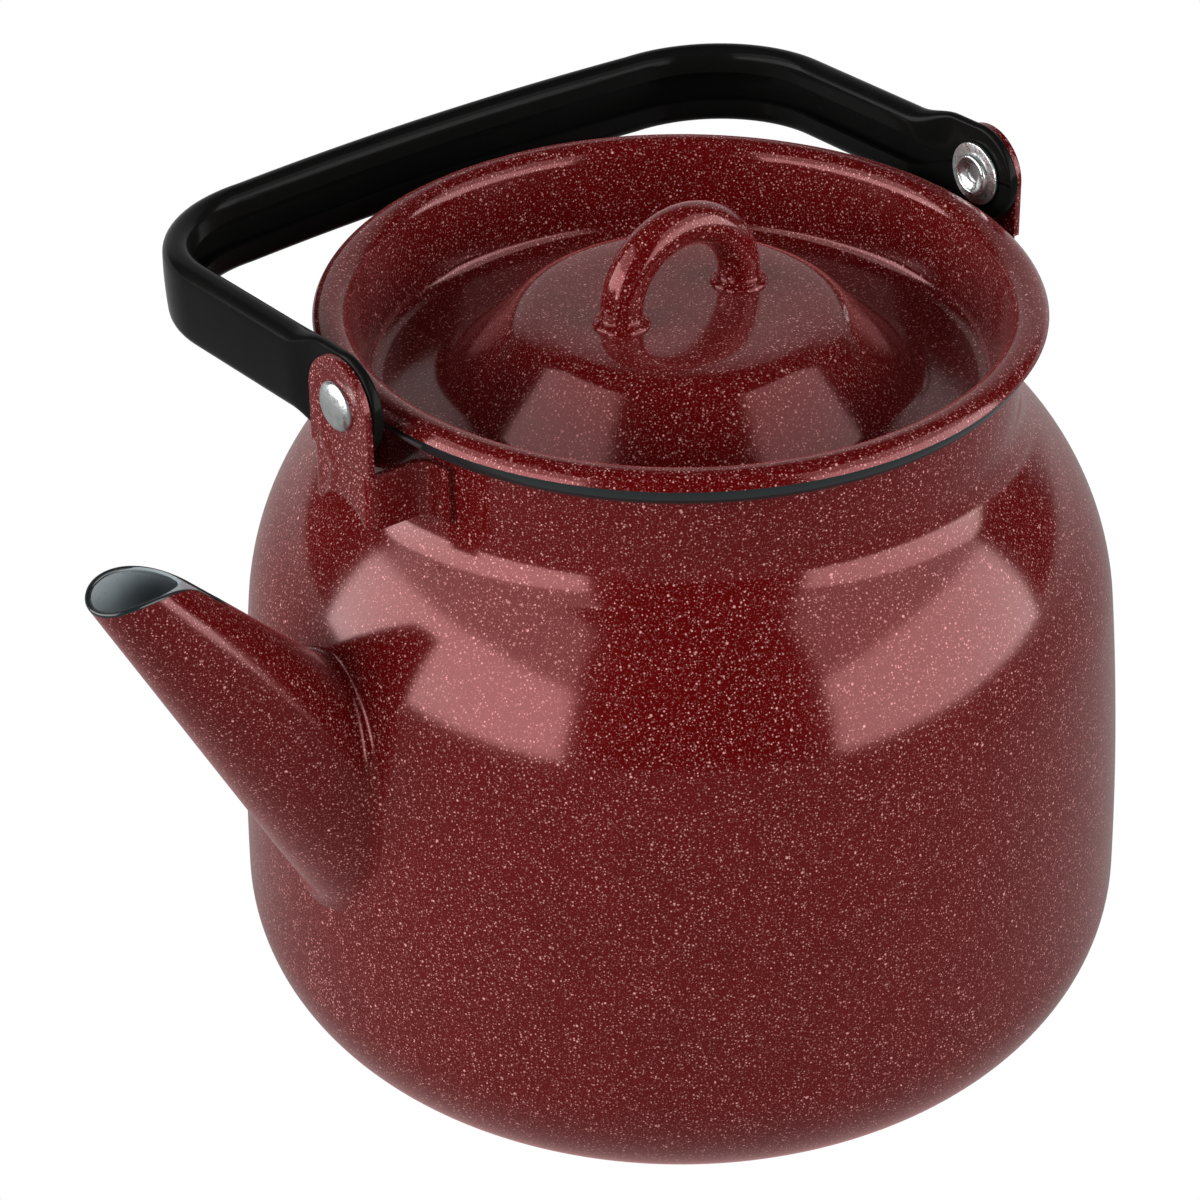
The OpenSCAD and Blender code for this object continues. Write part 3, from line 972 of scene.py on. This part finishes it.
@dataclass
class Lid:
    """The dished lid and its rod loop."""

    body: KettleBody
    sheet: float = 1.1
    seat_gap: float = 0.35
    rim_end: float = 18.0
    well_depth: float = 20.6
    well_draft: float = 11.0
    well_fillet: float = 4.0
    dome_r: float = 36.5
    dome_h: float = 18.1
    dome_slope: float = 47.0
    dome_fillet: float = 8.0
    shoulder: float = 9.0
    flat_r: float = 24.0
    crown_r: float = 60.0
    rod_d: float = 9.2
    span: float = 31.4
    leg: float = 2.4
    leg_sink: float = 0.4
    leg_rows: int = 9
    foot_d: float = 12.6
    collar_lift: Point = (0.2, 2.1)

    def __post_init__(self) -> None:
        """Works out the heights of the well and the plateau."""
        self.rim_r = self.body.bead_r + self.seat_gap + self.sheet
        self.rim_mid = self.body.neck_r - self.body.sheet + self.body.bead_r
        self.well_z = self.body.bead_z + self.rim_r - self.well_depth
        self.plateau_z = self.well_z + self.dome_h
        self.loop_mid = self.plateau_z + self.leg

    def outline(self) -> Profile:
        """Upper outline of the lid.

        Returns:
            Radius and height, from the outer edge of the rim to the middle.
        """
        draft, slope = math.radians(self.well_draft), math.radians(self.dome_slope)
        wall_end_z = self.well_z + self.well_fillet * (1 - math.sin(draft))
        inner_r = self.rim_mid - self.rim_r * math.cos(draft)
        drop = self.body.bead_z + self.rim_r * math.sin(draft) - wall_end_z
        floor_r = inner_r - drop * math.tan(draft) - self.well_fillet * math.cos(draft)
        shoulder_mid_r = self.dome_r - self.shoulder * math.sin(slope)
        tip = math.asin((shoulder_mid_r - self.flat_r) / (self.crown_r - self.shoulder))
        crown_drop = (self.crown_r - self.shoulder) * (1 - math.cos(tip))
        shoulder_mid_z = self.plateau_z - crown_drop - self.shoulder
        flank_top_z = shoulder_mid_z + self.shoulder * math.cos(slope)
        flank_end_z = self.well_z + self.dome_fillet * (1 - math.cos(slope))
        flank_end_r = self.dome_r + (flank_top_z - flank_end_z) / math.tan(slope)
        foot_r = flank_end_r + self.dome_fillet * math.sin(slope)
        crown_z = self.plateau_z - self.crown_r
        cove_z, hollow_z = self.well_z + self.well_fillet, self.well_z + self.dome_fillet
        flank_end, tip_end = 90 - self.dome_slope, 90 - math.degrees(tip)
        return tidy(
            arc(self.rim_mid, self.body.bead_z, self.rim_r, self.rim_end, 180 - self.well_draft, 36)
            + arc(floor_r, cove_z, self.well_fillet, -self.well_draft, -90, 14)
            + segment((floor_r, self.well_z), (foot_r, self.well_z), 6)
            + arc(foot_r, hollow_z, self.dome_fillet, -90, -90 - self.dome_slope, 14)
            + arc(shoulder_mid_r, shoulder_mid_z, self.shoulder, flank_end, tip_end, 18)
            + arc(self.flat_r, crown_z, self.crown_r, tip_end, 90, 8)
            + segment((self.flat_r, self.plateau_z), (0, self.plateau_z), 10)
        )

    def build(self) -> None:
        """Makes the lid's skin, its lining and the loop."""
        outline = self.outline()
        half = self.sheet / 2
        skin = Sheet()
        middle = offset(outline, half)
        skin.grid(turned(outline + middle[::-1]), wrap=True)
        made = skin.build("lid_skin", RED, Body.LID, 50.0)
        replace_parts(made, "lid_dish")
        lining = Sheet()
        lining.grid(turned(middle + offset(outline, self.sheet)[::-1]), wrap=True)
        lining.build("lid_lining", LINING, Body.LID, 50.0)
        self.build_loop()

    def build_loop(self) -> None:
        """Makes the arched rod with a flared collar at each foot."""
        radius = self.span / 2
        path: list[tuple[Vector, Vector, float]] = []
        flare = (self.foot_d - self.rod_d) / 2
        low = self.plateau_z - self.leg_sink
        for i in range(self.leg_rows):
            z = low + (self.loop_mid - low) * i / self.leg_rows
            lift = max(z - self.plateau_z, 0.0)
            grow = flare * (1 - smoothstep(*self.collar_lift, lift))
            path.append((Vector((radius, 0, z)), Vector((1, 0, 0)), self.rod_d / 2 + grow))
        bend_rows = 48
        for i in range(bend_rows + 1):
            a = math.pi * i / bend_rows
            out = Vector((math.cos(a), 0, math.sin(a)))
            path.append((Vector((0, 0, self.loop_mid)) + out * radius, out, self.rod_d / 2))
        for p, _, r in path[: self.leg_rows][::-1]:
            path.append((Vector((-p.x, 0, p.z)), Vector((-1, 0, 0)), r))
        rings = [hoop(p, out, Vector((0, 1, 0)), r, 40) for p, out, r in path]
        loop = Sheet()
        loop.grid(rings, wrap=True)
        loop.cap(rings[0])
        loop.cap(rings[-1])
        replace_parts(loop.build("lid_loop_rod", RED, Body.LID, 50.0), "lid_loop")


# --- brackets and rivets


@dataclass
class Hinge:
    """One bracket with its rivet and washer; side is -1 at the spout."""

    body: KettleBody
    side: int
    name: str
    ear_out: float = 87.0
    ear_w: float = 20.8
    sheet: float = 1.5
    rise: float = 6.6
    lift: float = 0.3
    wall_h: float = 12.6
    bend_r: float = 2.2
    tab_w: float = 4.6
    arch_r: float = 10.0
    arch_rise: float = 4.0
    arch_end: float = 1.9
    rivet_d: float = 5.0
    head_d: float = 10.8
    head_h: float = 2.0
    washer_out: float = 82.95
    washer_d: float = 14.4
    washer_t: float = 1.0
    tail_h: float = 1.3
    tail_d: float = 9.5
    tail_r: float = 0.62
    hole_play: float = 0.05
    mark_r: float = 7.0
    mark_w: float = 1.1
    mark_depth: float = 0.35
    rib: tuple[Point, ...] = ((7.0, 169.0), (4.7, 165.0), (2.3, 162.5), (3.2, 158.0), (4.6, 154.6))
    rib_w: float = 1.15
    rib_h: float = 0.55

    def __post_init__(self) -> None:
        """Works out the heights."""
        self.hinge_z = self.body.bead_z + self.rise
        self.low_z = self.body.neck_foot_z + self.lift
        self.top_z = self.low_z + self.wall_h

    def plan(self) -> Profile:
        """The bracket's outer face seen from above.

        Returns:
            Points from one weld tab to the other.
        """
        r, b = self.ear_w / 2, self.bend_r
        neck_x = math.sqrt((self.body.neck_r + self.sheet) ** 2 - r * r)
        half = [(self.ear_out, 0.0)]
        half += segment((self.ear_out, 0.6), (self.ear_out, r - b), 16)
        half += arc(self.ear_out - b, r - b, b, 0, 90, 6)[1:]
        half += segment((self.ear_out - b - 1, r), (neck_x + b, r), 5)
        half += [(neck_x + b * 0.45, r + b * 0.18), (neck_x + b * 0.05, r + b * 0.7)]
        turn = math.atan2(r + b, neck_x)
        reach = self.body.neck_r + self.sheet
        for i in range(4):
            a = turn + self.tab_w * i / 3 / reach
            half.append((reach * math.cos(a), reach * math.sin(a)))
        return [(x, -y) for x, y in reversed(half[1:])] + half

    def pressed(self, y: float, z: float) -> float:
        """Height of the pressed rib and of the pinned ring round the rivet.

        Args:
            y: Distance across the ear's face.
            z: Height on the ear's face.

        Returns:
            How far the face stands out there.
        """
        near = math.inf
        for (y0, z0), (y1, z1) in zip(self.rib, self.rib[1:]):
            dy, dz = y1 - y0, z1 - z0
            along = ((y - y0) * dy + (z - z0) * dz) / (dy**2 + dz**2)
            along = min(max(along, 0.0), 1.0)
            near = min(near, math.hypot(y - y0 - along * dy, z - z0 - along * dz))
        from_mark = math.hypot(y, z - self.hinge_z) - self.mark_r
        mark = -self.mark_depth * math.exp(-((from_mark / self.mark_w) ** 2))
        return self.rib_h * math.exp(-((near / self.rib_w) ** 2)) + mark

    def face_row(self, low: EdgeLine, high: EdgeLine, share: float, plan: Profile) -> list[Vector]:
        """One row of points across the bracket's face.

        Args:
            low: Lower edge at a distance across.
            high: Upper edge at a distance across.
            share: 0 on the lower edge and 1 on the upper.
            plan: The face seen from above.

        Returns:
            The points.
        """
        row = []
        fade_end, fade_start, strength = self.ear_w / 2 - self.bend_r, 5.0, 0.6
        for x, y in plan:
            flat = x > self.ear_out - 0.01
            a, b = (low(y), high(y)) if flat else (self.low_z, self.top_z)
            z = a + (b - a) * share
            out = 0.0
            if flat:
                fade = smoothstep(fade_end, fade_start, abs(y))
                out = self.pressed(-y * self.side, z) * fade
            row.append(Vector((self.side * (x + out * strength), y, z)))
        return row

    def build_bracket(self) -> None:
        """Makes the folded bracket with its rounded ear."""
        plan = self.plan()
        limit = self.ear_w / 2

        def arch(y: float) -> float:
            """Lower edge of the ear.

            Args:
                y: Distance across the ear.

            Returns:
                Its height.
            """
            if abs(y) >= self.arch_r - self.arch_end:
                return self.low_z
            top = self.low_z + self.arch_rise - self.arch_r + math.sqrt(self.arch_r**2 - y * y)
            return max(top, self.low_z)

        band = [self.face_row(arch, lambda y: self.top_z, j / 8, plan) for j in range(9)]
        shell = Sheet()
        shell.grid(band, wrap=False)
        edge = limit - 0.02

        def crown(y: float) -> float:
            """Upper edge of the ear."""
            return self.hinge_z + math.sqrt(max(limit * limit - y * y, 0.0))

        across = [edge * math.sin(math.pi / 2 * k / 16) for k in range(-16, 17)]
        plate = [(self.ear_out, y) for y in across]
        rows = [self.face_row(lambda y: self.top_z, crown, j / 18, plate) for j in range(19)]
        shell.grid(rows, wrap=False)
        made = shell.build(f"{self.name}_bracket", RED, Body.KETTLE)
        solid = made.modifiers.new("sheet", "SOLIDIFY")
        solid.thickness = self.sheet * MM
        solid.offset = -1.0
        round_off = made.modifiers.new("edge", "BEVEL")
        round_off.width = 0.32 * MM
        round_off.segments = 2
        round_off.limit_method = "ANGLE"
        round_off.angle_limit = math.radians(50)
        settle(made, 50.0)
        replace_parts(made, f"bracket_{self.name}")

    def build_rivet(self) -> None:
        """Makes the domed rivet with its flared hollow tail, and the washer."""
        origin = Vector((0, 0, self.hinge_z))
        r, h = self.head_d / 2, self.head_h
        inner = self.washer_out - self.washer_t
        shank, flare = self.rivet_d / 2, self.tail_d / 2
        brim, dome_steps = 0.35, 12
        quarter = [math.pi / 2 * i / dome_steps for i in range(dome_steps + 1)]
        dome = [(r * math.cos(a), brim + (h - brim) * math.sin(a)) for a in quarter]
        tail = inner - self.tail_h
        lip = arc(flare - self.tail_r, tail + self.tail_r, self.tail_r, 0, -180, 10)
        profile = [(0.0, tail + 1.6), (shank - 0.55, tail + 1.5), (shank - 0.45, tail + 0.9)]
        profile += lip[::-1][1:]
        profile += [(flare, inner - 0.02), (shank, inner - 0.02)]
        profile += [(shank, self.ear_out - 0.1), (r, self.ear_out)]
        profile += [(x, self.ear_out + y) for x, y in dome]
        rivet = Sheet()
        rivet.grid(turned_on_x(profile, origin, self.side), wrap=True)
        made = rivet.build(f"{self.name}_rivet", ZINC, Body.KETTLE, 50.0)
        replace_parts(made, f"rivet_{self.name}")
        rim, hole, face = self.washer_d / 2, shank + self.hole_play, self.washer_out
        ring = [(hole, inner), (rim - 0.35, inner), (rim - 0.1, inner + 0.1), (rim, inner + 0.35)]
        ring += [(rim, face - 0.2), (rim - 0.2, face), (hole, face)]
        washer = Sheet()
        washer.grid(turned_on_x(ring, origin, self.side), wrap=True, loop=True)
        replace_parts(washer.build(f"{self.name}_washer", ZINC, Body.KETTLE), f"washer_{self.name}")

    def build(self) -> None:
        """Makes all its pieces."""
        self.build_bracket()
        self.build_rivet()


# --- the bail


@dataclass
class Bail:
    """The rolled steel bail with flattened ends."""

    hinge_z: float
    half_span: float = 86.1
    reach: float = 92.45
    bow: float = 1.3
    corner_r: float = 33.0
    roll_w: float = 18.6
    roll_d: float = 6.0
    sheet: float = 1.1
    slot_w: float = 7.0
    lug_w: float = 22.4
    lug_t: float = 2.2
    jog: float = 0.8
    droop: float = 3.6
    hole_d: float = 5.16
    closed_slot: float = 0.25
    crown: float = 0.45
    flat_end: Point = (8.0, 20.0)
    end_rows: int = 12
    flat_rows: int = 14
    flat_pitch: float = 1.5

    def section(self, flat: float, half_w: float) -> Profile:
        """The section as one closed line.

        Args:
            flat: 1 in the flattened end and 0 in the rolled leg.
            half_w: Half of the width.

        Returns:
            Depth inwards from the outer face, and height, of each point.
        """
        depth = self.roll_d + (self.lug_t - self.roll_d) * flat
        start = self.jog * flat
        wall = min(self.sheet, depth * 0.49)
        slot = self.slot_w / 2 * (1 - flat) + self.closed_slot * flat
        r = min(depth / 2, half_w * 0.9)
        crown = self.crown * (1 - flat)

        def contour(inset: float) -> Profile:
            """The rounded bar's line from one slot lip round to the other.

            Args:
                inset: How far inside the bar's surface.

            Returns:
                The points.
            """
            rr = max(r - inset, 0.01)
            mid = half_w - r
            gap = min(slot, mid)
            line = segment((depth - inset, gap), (depth - inset, mid), 4)
            line += arc(depth / 2, mid, rr, 0, 180, 14)[1:]
            face = [(inset, mid * (1 - i / 6)) for i in range(1, 7)]
            half = line + face
            return half + [(x, -y) for x, y in half[-2::-1]]

        outer, inner = contour(0.0), contour(wall)
        lifted = []
        for x, y in outer + inner[::-1]:
            bulge = crown * (1 - (y / half_w) ** 2) if x < depth / 2 else 0.0
            lifted.append((start + x - bulge, y))
        return lifted

    def route(self) -> list[tuple[Vector, Vector, float, float]]:
        """Places along the bail.

        Returns:
            For each place, its point on the outer face, the direction outwards,
            how flat the section is and half of its width, with the hinge axis
            at height 0 and the bail lying flat.
        """
        stations = []
        lug_r = self.lug_w / 2
        corner_x = self.half_span - self.corner_r
        corner_y = self.reach - self.bow - self.corner_r
        rows, pitch = self.end_rows, self.flat_pitch
        ys = [-lug_r * math.cos(math.pi / 2 * i / rows) for i in range(rows + 1)]
        ys += [pitch + pitch * i for i in range(self.flat_rows)]
        ys += [ys[-1] + (corner_y - ys[-1]) * i / rows for i in range(1, rows)]
        for y in ys:
            flat = 1 - smoothstep(*self.flat_end, y)
            wide = lug_r if y > 0 else math.sqrt(max(lug_r**2 - y * y, 0.0)) + 0.05
            half_w = wide * flat + self.roll_w / 2 * (1 - flat)
            stations.append((Vector((self.half_span, y, 0)), Vector((1, 0, 0)), flat, half_w))
        for i in range(2 * rows + 1):
            a = math.pi / 2 * i / (2 * rows)
            out = Vector((math.cos(a), math.sin(a), 0))
            spot = Vector((corner_x, corner_y, 0)) + out * self.corner_r
            stations.append((spot, out, 0.0, self.roll_w / 2))
        for i in range(1, rows + 1):
            x = corner_x * (1 - i / rows)
            rise = 2 * self.bow * (1 - (x / corner_x) ** 2)
            slope = 4 * self.bow * x / corner_x**2 * smoothstep(corner_x, corner_x * 0.8, abs(x))
            out = Vector((slope, 1, 0)).normalized()
            spot = Vector((x, self.reach - self.bow + rise, 0))
            stations.append((spot, out, 0.0, self.roll_w / 2))
        mirrored = [
            (Vector((-p.x, p.y, 0)), Vector((-o.x, o.y, 0)), flat, half_w)
            for p, o, flat, half_w in stations[-2::-1]
        ]
        return stations + mirrored

    def build(self) -> None:
        """Makes the bail and drills its ends."""
        droop = Matrix.Rotation(math.radians(-self.droop), 4, "X")
        place = Matrix.Translation((0, 0, self.hinge_z)) @ droop
        rings = []
        for spot, out, flat, half_w in self.route():
            line = self.section(flat, half_w)
            rings.append([place @ (spot - out * x + Vector((0, 0, y))) for x, y in line])
        shell = Sheet()
        shell.grid(rings, wrap=True)
        shell.cap(rings[0])
        shell.cap(rings[-1])
        made = shell.build("bail_roll", BLACK, Body.BAIL, 55.0)
        pin = Sheet()
        half, past = self.hole_d / 2, 100.0
        axis = Vector((0, 0, self.hinge_z))
        ends = turned_on_x([(half, -past), (half, past)], axis, 1, 40)
        pin.grid(ends, wrap=True)
        pin.cap(ends[0])
        pin.cap(ends[1])
        drill = pin.bare("bail_drill")
        cut_away(made, drill, 55.0)
        bpy.data.objects.remove(drill)
        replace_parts(made, "bail_handle")


# --- the studio


@dataclass
class Softbox:
    """A soft upright light panel, placed as seen from the object.

    Its angles are in degrees: the azimuth from the camera, positive to the
    left, half of the width, and the heights of its lower and upper edges.
    """

    azimuth: float
    half_width: float
    low: float
    high: float
    radiance: float
    distance: float = 2.2

    def build(self, name: str, camera_azimuth: float) -> None:
        """Makes the panel's light.

        Args:
            name: Name of the light.
            camera_azimuth: Azimuth of the camera, in degrees.
        """
        width = 2 * self.distance * math.tan(math.radians(self.half_width))
        foot, head = (self.distance * math.tan(math.radians(v)) for v in (self.low, self.high))
        data = bpy.data.lights.new(name, "AREA")
        data.shape = "RECTANGLE"
        data.size, data.size_y = width, head - foot
        data.energy = self.radiance * math.pi * width * (head - foot)
        lamp = added(name, data)
        a = math.radians(camera_azimuth + self.azimuth)
        away = Vector((-math.sin(a), -math.cos(a), 0))
        lamp.location = away * self.distance + Vector((0, 0, (foot + head) / 2))
        lamp.rotation_mode = "QUATERNION"
        lamp.rotation_quaternion = (-away).to_track_quat("-Z", "Y")


@dataclass
class Studio:
    """Pale floor, soft light and the camera."""

    azimuth: float = 37.6
    elevation: float = 32.66
    distance: float = 0.9
    target_z: float = 0.0967
    lens: float = 121.44
    shift: float = -0.0673
    floor_r: float = 14.0
    floor_near: float = 0.34
    floor_far: float = 0.62
    wall_glow: float = 0.55
    dark: float = 0.02
    box_low: float = 1.5
    box_split: float = 31.0
    box_high: float = 54.0
    softboxes: tuple[tuple[str, float, float, float, float], ...] = (
        ("left_softbox", 65.0, 37.0, 6.0, 2.2),
        ("right_softbox", -71.0, 33.0, 5.0, 1.9),
    )

    def away(self) -> Vector:
        """Level unit vector from the camera towards the object and beyond."""
        a = math.radians(self.azimuth)
        return Vector((math.sin(a), math.cos(a), 0))

    def build_camera(self) -> None:
        """Makes the camera."""
        data = bpy.data.cameras.new("camera")
        data.lens = self.lens
        data.sensor_width = 36.0
        data.shift_x = self.shift
        data.clip_start, data.clip_end = 0.05, 100.0
        camera = added("camera", data)
        e = math.radians(self.elevation)
        back = -self.away() * math.cos(e) + Vector((0, 0, math.sin(e)))
        camera.location = Vector((0, 0, self.target_z)) + back * self.distance
        camera.rotation_mode = "QUATERNION"
        camera.rotation_quaternion = (-back).to_track_quat("-Z", "Y")
        bpy.context.scene.camera = camera

    def build_floor(self) -> None:
        """Makes the white floor, brighter behind the object than before it."""
        made = bpy.data.materials.new("studio_floor_white")
        made.use_nodes = True
        shader = Shader(made.node_tree)
        seen = shader.node("ShaderNodeLightPath", output="Is Camera Ray")
        x, y, _ = shader.split(shader.place())
        far = self.away()
        behind = (x * far.x + y * far.y).step(0.05, 0.9)
        lit = behind * (self.floor_far - self.floor_near) + self.floor_near
        power = seen + (1 - seen) * lit
        glow = shader.node("ShaderNodeEmission", None, {"Color": power, "Strength": 1.0})
        shader.node("ShaderNodeOutputMaterial", None, {"Surface": glow})
        mesh = bpy.data.meshes.new("studio_floor")
        rim = [Vector((math.cos(a), math.sin(a), 0)) * self.floor_r for a in full_turn(64)]
        mesh.from_pydata(rim, [], [tuple(range(len(rim)))])
        mesh.materials.append(made)
        added("studio_floor", mesh)

    def build_walls(self) -> None:
        """Makes the dark studio with a pale wall behind the object."""
        world = bpy.data.worlds.new("studio_walls")
        world.use_nodes = True
        bpy.context.scene.world = world
        shader = Shader(world.node_tree)
        x, y, z = shader.split(shader.node("ShaderNodeTexCoord", output="Generated"))
        flat = (x * x + y * y).root().larger(1e-4)
        far = self.away()
        facing = (x * far.x + y * far.y) / flat
        wall = facing.step(0.60, 0.85) * (1 - z.step(0.55, 0.75))
        power = wall * self.wall_glow + self.dark
        sky = shader.node("ShaderNodeBackground", None, {"Color": power, "Strength": 1.0})
        shader.node("ShaderNodeOutputWorld", None, {"Surface": sky})

    def build(self) -> None:
        """Makes the floor, the lights and the camera."""
        bpy.context.scene.view_settings.view_transform = "Standard"
        self.build_floor()
        self.build_walls()
        for name, azimuth, half_width, main_glow, top_glow in self.softboxes:
            main_panel = Softbox(azimuth, half_width, self.box_low, self.box_split, main_glow)
            main_panel.build(name, self.azimuth)
            top_panel = Softbox(azimuth, half_width, self.box_split, self.box_high, top_glow)
            top_panel.build(f"{name}_top", self.azimuth)
        self.build_camera()


def main() -> None:
    """Builds the studio and every piece of the kettle."""
    logging.basicConfig(level=logging.INFO, format="%(message)s")
    Studio().build()
    body = KettleBody()
    spout = Spout(body)
    body.build(spout.strainer_z)
    spout.build()
    Lid(body).build()
    front = Hinge(body, -1, "front")
    front.build()
    Hinge(body, 1, "rear").build()
    Bail(front.hinge_z).build()


if __name__ == "__main__":
    main()
